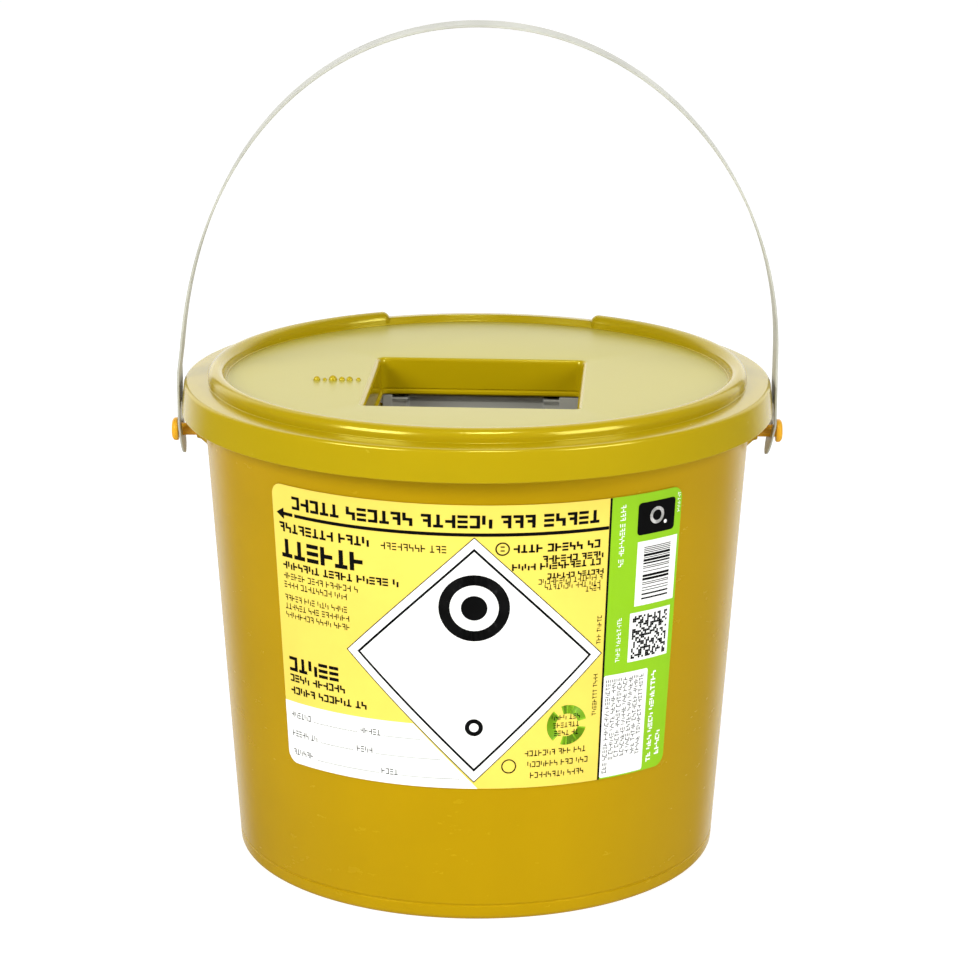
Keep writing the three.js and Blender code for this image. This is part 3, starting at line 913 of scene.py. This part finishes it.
def greeked(u, v, length, height, seed, bold=False, upright=False):
    """A line of marks in word-like groups, in place of lettering. upright lines read downwards."""
    rng = random.Random(seed)
    shapes, at = [], 0.0
    pitch = height * (0.86 if bold else 0.76)
    width = pitch * (0.84 if bold else 0.76)
    kinds = BOLD_MARKS if bold else LIGHT_MARKS
    letters = rng.randint(4, 8)
    while at + width <= length:
        for left, right, low, top in kinds[rng.randrange(len(kinds))]:
            shapes.append(box_shape(at + left * width, at + right * width, low * height, top * height))
        at += pitch
        letters -= 1
        if letters == 0:
            at += pitch * 0.55
            letters = rng.randint(3, 8)
    if upright:
        return [[(u + y, v - x) for x, y in shape] for shape in shapes]
    return [[(u + x, v + y) for x, y in shape] for shape in shapes]


def label_base():
    """The label's whole outline with rounded corners."""
    return round_box(-LABEL_HALF, LABEL_HALF, LABEL_BOTTOM, LABEL_TOP - 0.2, LABEL_CORNER)


def scaled(points, factor):
    centre = sum((Vector(p) for p in points), Vector((0, 0))) / len(points)
    return [tuple(centre + (Vector(p) - centre) * factor) for p in points]


def green_panel():
    """The green strip at the right, with the label's own corners."""
    right, top, low = LABEL_HALF, LABEL_TOP - 0.2, LABEL_BOTTOM
    return rounded([
        (DIVIDER_U, low),
        (right, low, LABEL_CORNER),
        (right, top, LABEL_CORNER),
        (DIVIDER_U, top),
    ], closed=True)


def form_panel():
    """The white area for handwriting, cut off by the diamond at its right."""
    left_u, left_v = DIAMOND[1]
    foot_u, foot_v = DIAMOND[2]
    slope = (foot_u - left_u) / (left_v - foot_v)
    low_edge, top_edge = (left_u + (left_v - v) * slope - 0.9 for v in (LABEL_BOTTOM, FORM_TOP))
    return rounded([
        (-LABEL_HALF, LABEL_BOTTOM, LABEL_CORNER),
        (low_edge - 0.5, LABEL_BOTTOM),
        (top_edge, FORM_TOP),
        (-LABEL_HALF, FORM_TOP),
    ], closed=True)


def heading_shapes():
    """The fill line with its arrow, and the bold line of marks over it."""
    low, high = 165.6, 167.0
    line = box_shape(-76.5, 52.4, low, high)
    shaft = box_shape(-82.3, -77.5, low, high)
    point = [(-86.2, 166.3), (-82.2, 163.9), (-82.2, 168.7)]
    return [line, point, shaft] + greeked(-77.5, 169.0, 128.8, 5.4, 1, bold=True)


def left_text():
    """Lines of marks left of the diamond, each with its place, length, height and weight."""
    lines = [
        (-85.0, 158.6, 43.5, 4.0, True),
        (-84.5, 147.8, 43.0, 7.8, True),
        (-84.3, 142.9, 56.0, 3.2, True),
        (-84.3, 138.6, 37.0, 2.6, False),
        (-84.3, 134.8, 32.5, 2.6, False),
        (-84.3, 129.3, 33.0, 2.5, False),
        (-84.3, 125.6, 33.0, 2.5, False),
        (-84.3, 121.9, 33.0, 2.5, False),
        (-84.3, 98.8, 31.5, 6.2, True),
        (-84.3, 94.2, 29.0, 3.2, True),
        (-84.3, 88.8, 41.0, 3.2, True),
    ]
    shapes = []
    for i, (u, v, length, height, bold) in enumerate(lines):
        shapes += greeked(u, v, length, height, 10 + i, bold)
    return shapes + greeked(-37.5, 158.4, 27.0, 3.0, 30)


def dotted(start, end, v):
    """A dotted line to write on."""
    pitch, dot_w, dot_h = 0.75, 0.38, 0.35
    starts = [start + pitch * i for i in range(int((end - start) / pitch))]
    return [box_shape(u, u + dot_w, v, v + dot_h) for u in starts]


def form_text():
    """Three rows of two short words, with a dotted line after each."""
    left, height = -85.0, 2.5
    rows = ((12, 22, 10), (15, 17, 8), (13, 30, 8))  # lengths of a word, its line and the second word
    shapes = []
    for row, (word, write, second) in enumerate(rows):
        v = 78.3 - 8.2 * row
        shapes += greeked(left, v, word, height, 50 + row)
        start = left + word + 0.8
        shapes += dotted(start, start + write, v)
        shapes += greeked(start + write + 1.0, v, second, height, 60 + row)
        limit = DIAMOND[1][0] + (DIAMOND[1][1] - v)
        shapes += dotted(start + write + second + 1.8, limit - 4.5, v)
    return shapes


def right_text():
    """Marks between the diamond and the divider, ranged to the right, and two tiny upright lines."""
    right = 51.0
    lines = [
        (37.0, 158.6, 3.4, True),
        (25.5, 154.2, 2.8, True),
        (37.5, 151.2, 2.8, True),
        (23.5, 147.3, 2.2, True),
        (27.0, 145.0, 2.2, False),
        (24.5, 142.6, 2.2, False),
        (7.5, 140.4, 2.2, False),
    ]
    shapes = []
    for i, (length, v, height, bold) in enumerate(lines):
        shapes += greeked(right - length, v, length, height, 70 + i, bold)
    shapes += greeked(49.2, 129.5, 12.0, 1.9, 90, upright=True)
    shapes += greeked(48.6, 104.5, 19.0, 1.9, 91, upright=True)
    for i, v in enumerate((71.6, 66.8, 62.0)):
        shapes += greeked(20.0 + 1.2 * i, v, 28.0 - 1.5 * i, 2.5, 92 + i)
    shapes += ring(9.8, 160.4, 2.8, 2.25)
    shapes += [box_shape(9.0, 10.6, 161.0, 161.5), box_shape(9.0, 10.6, 159.4, 159.9)]
    shapes += ring(13.4, 67.6, 3.1, 2.6)
    return shapes


def symbol_shapes():
    """A plain ring and dot, in place of a hazard symbol."""
    u, v = -1.0, 135.6
    return ring(u, v, 14.0, 9.6) + [disc_shape(u, v, 5.2)] + ring(u, 84.6, 3.7, 1.9)


def green_strip_black():
    """The dark marks on the green strip: a square, bars, a random checker and upright lines."""
    rng = random.Random(5)
    shapes = [round_box(65.6, 84.6, 161.0, 174.6, 1.6)]
    v, bars_top = 133.4, 156.0
    while v < bars_top:
        thick = rng.choice((0.35, 0.35, 0.7, 1.05))
        shapes.append(box_shape(69.5, 83.5, v, v + thick))
        v += thick + rng.choice((0.4, 0.75, 1.1))
    cells, cell = 20, 0.92
    for row in range(cells):
        for column in range(cells):
            if rng.random() < 0.5:
                u, w = 65.9 + cell * column, 108.4 + cell * row
                shapes.append(box_shape(u, u + cell * 0.96, w, w + cell * 0.96))
    for i in range(7):
        shapes += greeked(54.6 + 2.75 * i, 101.0, rng.uniform(34, 41), 2.1, 120 + i, upright=True)
    return shapes


def green_strip_white():
    """The pale panels and upright lines on the green strip."""
    shapes = [box_shape(66.2, 87.0, 130.9, 158.2), box_shape(64.4, 85.7, 107.2, 128.2)]
    shapes.append(round_box(53.4, 75.4, LABEL_BOTTOM + 0.6, 103.0, 1.0))
    shapes += greeked(57.4, 175.0, 26.0, 2.3, 140, upright=True)
    shapes += greeked(58.4, 127.0, 19.0, 2.0, 141, upright=True)
    shapes += greeked(86.0, 176.0, 9.0, 1.6, 142, upright=True)
    shapes += greeked(77.6, 101.0, 40.0, 2.5, 130, bold=True, upright=True)
    shapes += greeked(82.4, 74.0, 12.0, 2.5, 131, bold=True, upright=True)
    return shapes


def emblem_shapes():
    """A broken ring in three parts."""
    parts, gap = 3, 24
    turn = 360 / parts
    shapes = []
    for k in range(parts):
        shapes += ring(37.6, 84.0, 8.6, 4.9, turn * k + gap / 2, turn * (k + 1) - gap / 2, steps=14)
    return shapes


def emblem_text():
    shapes = []
    for i, v in enumerate((86.4, 83.0, 79.6)):
        shapes += greeked(31.0 + 0.6 * i, v, 13.5 - i, 2.2, 160 + i)
    return shapes


def make_label(inks):
    """The film and its print, each colour a thin skin of its own on the one below."""
    panel = (0.47, 0.02)  # height above the wall and thickness
    ink = (0.5, 0.012)
    white_areas = [form_panel(), DIAMOND]
    outer_line = frame_strokes(scaled(DIAMOND, 1.006), 0.35)
    inner_line = frame_strokes(scaled(DIAMOND, 0.915), 0.95)
    faint = greeked(-8.5, 117.0, 14.0, 2.2, 150) + greeked(-8.0, 113.4, 13.0, 2.2, 151)
    divider = [box_shape(DIVIDER_U - 0.45, DIVIDER_U + 0.45, LABEL_BOTTOM, LABEL_TOP - 0.2)]
    film = wrap("label_film", [label_base()], 0.3, 0.12, inks["yellow"])
    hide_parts("front_label")
    wrap("label_green", [green_panel()], 0.43, 0.03, inks["green"])
    wrap("label_white", white_areas + green_strip_white(), *panel, inks["white"])
    wrap("label_faint_marks", faint, 0.495, 0.008, inks["grey"])
    wrap("label_emblem", emblem_shapes(), *panel, inks["leaf"])
    wrap("label_black_lines", outer_line + inner_line + divider + symbol_shapes(), *ink, inks["black"])
    wrap("label_black_heading", heading_shapes(), *ink, inks["black"])
    wrap("label_black_left", left_text() + form_text(), *ink, inks["black"])
    wrap("label_black_right", right_text() + emblem_text(), *ink, inks["black"])
    wrap("label_black_strip", green_strip_black(), *ink, inks["black"])
    mark = ring(75.1, 168.4, 3.6, 2.2) + [disc_shape(79.6, 165.0, 0.8)]
    wrap("label_square_mark", mark, 0.52, 0.012, inks["white"])


# ---- Room and camera ----

def make_floor():
    """A plain floor that is so pale that it fades into the background."""
    bm = bmesh.new()
    half = 30000
    corners = ((-half, -half, 0), (half, -half, 0), (half, half, 0), (-half, half, 0))
    bm.faces.new([bm.verts.new(p) for p in corners])
    floor = mesh_object("studio_floor", bm)
    n = Nodes("studio_floor")
    n.set(Base_Color=(0.4, 0.4, 0.4), Roughness=0.9, Specular_IOR_Level=0.0)
    n.set(Emission_Color=(1.0, 1.0, 1.0), Emission_Strength=0.8)
    floor.data.materials.append(n.material)
    floor.visible_glossy = False


def map_range(tree, value, from_min, from_max, to_min, to_max, smooth=False):
    node = tree.nodes.new("ShaderNodeMapRange")
    if smooth:
        node.interpolation_type = "SMOOTHSTEP"
    ends = {"From Min": from_min, "From Max": from_max, "To Min": to_min, "To Max": to_max}
    for name, number in ends.items():
        node.inputs[name].default_value = number
    tree.links.new(value, node.inputs["Value"])
    return node.outputs["Result"]


def make_world():
    """A pale studio: bright behind and high up, dim elsewhere, and a little dimmer below the horizon."""
    dim, bright, below_horizon = 0.2, 1.5, 0.7
    world = bpy.data.worlds.new("studio")
    bpy.context.scene.world = world
    world.use_nodes = True
    tree = world.node_tree
    background = tree.nodes["Background"]
    background.inputs["Color"].default_value = (1, 1, 1, 1)
    place = tree.nodes.new("ShaderNodeTexCoord")
    split = tree.nodes.new("ShaderNodeSeparateXYZ")
    tree.links.new(place.outputs["Generated"], split.inputs["Vector"])
    behind, up = split.outputs["Y"], split.outputs["Z"]
    towards = maths(tree, "MULTIPLY_ADD", up, 0.3, behind)
    backdrop = map_range(tree, towards, 0.5, 0.85, dim, bright, smooth=True)
    horizon = map_range(tree, up, -0.03, 0.0, below_horizon, 1.0)
    tree.links.new(maths(tree, "MULTIPLY", backdrop, horizon), background.inputs["Strength"])


def area_light(name, place, aim, size, power):
    data = bpy.data.lights.new(name, "AREA")
    data.shape = "RECTANGLE"
    data.size, data.size_y = size
    data.energy = power
    light = bpy.data.objects.new(name, data)
    light.location = place
    light.rotation_euler = (Vector(aim) - Vector(place)).to_track_quat("-Z", "Y").to_euler()
    bpy.context.scene.collection.objects.link(light)


def make_lights():
    """Two large soft lamps in front, left and right, and a small one over the lid. Metres and watts."""
    middle, lid = (0, 0, 0.12), (0, 0, 0.2)
    area_light("key", (-1.4, -1.4, 1.2), middle, size=(1.0, 0.8), power=36)
    area_light("fill", (1.45, -1.3, 1.05), middle, size=(1.0, 1.0), power=26)
    area_light("overhead", (0.1, -0.9, 1.6), lid, size=(0.4, 0.3), power=8)


def swung(first, second, angle):
    """Two directions at right angles, turned so that the first moves towards the second."""
    cosine, sine = math.cos(angle), math.sin(angle)
    return first * cosine + second * sine, second * cosine - first * sine


def make_camera():
    """The camera stands in front, a little above the lid, and looks slightly down."""
    elevation, yaw, pitch, roll = 0.3034, 0.0036, 0.035, 0.003  # radians
    distance, target = 1.4225, Vector((0, 0, 0.103))
    ahead = Vector((0, math.cos(elevation), -math.sin(elevation)))
    right = Vector((1, 0, 0))
    up = Vector((0, math.sin(elevation), math.cos(elevation)))
    place = target - ahead * distance
    ahead, right = swung(ahead, right, yaw)
    ahead, up = swung(ahead, up, pitch)
    right, up = swung(right, up, roll)
    data = bpy.data.cameras.new("camera")
    data.sensor_width = 36.0
    data.lens = 121.79
    data.clip_end = 20.0
    camera = bpy.data.objects.new("camera", data)
    turn = Matrix((right, up, -ahead)).transposed().to_4x4()
    camera.matrix_world = Matrix.Translation(place) @ turn
    bpy.context.scene.collection.objects.link(camera)
    bpy.context.scene.camera = camera


# ---- The whole object ----

def make_container():
    body = moulded("body_polypropylene", (0.435, 0.262, 0.0012), roughness=0.26, tint=(1.0, 0.95, 0.1),
                   specular=0.6, glow=0.08)
    # lid_face_mask makes the lid's flat top rougher and paints it paler as a painted sheen.
    lid = moulded("lid_polypropylene", (0.395, 0.282, 0.0015), roughness=0.17, tint=(1.0, 1.0, 0.25),
                  specular=0.9, glow=0.08, matte_and_sheen=lid_face_mask)
    stud = moulded("stud_plastic", (0.74, 0.37, 0.015), roughness=0.34, tint=(1.0, 0.8, 0.4), glow=0.1)
    door = moulded("door_plastic", (0.30, 0.30, 0.27), roughness=0.42, variation=0.05)
    make_body(body)
    make_stud(-1, "left", stud)
    make_stud(1, "right", stud)
    make_lid(lid)
    make_door(door)
    make_handle(strip_metal("plated_strip", (0.58, 0.58, 0.50)))
    make_label({
        "yellow": printed("film_yellow", (0.80, 0.63, 0.09)),
        "green": printed("ink_green", (0.25, 0.53, 0.0)),
        "leaf": printed("ink_leaf", (0.22, 0.47, 0.005)),
        "white": printed("film_white", (0.88, 0.88, 0.85)),
        "grey": printed("ink_grey", (0.66, 0.66, 0.64)),
        "black": printed("ink_black", (0.003, 0.003, 0.003), variation=0.2, specular=0.1),
    })


make_camera()
make_container()
make_floor()
make_world()
make_lights()
bpy.context.scene.view_settings.view_transform = "Standard"
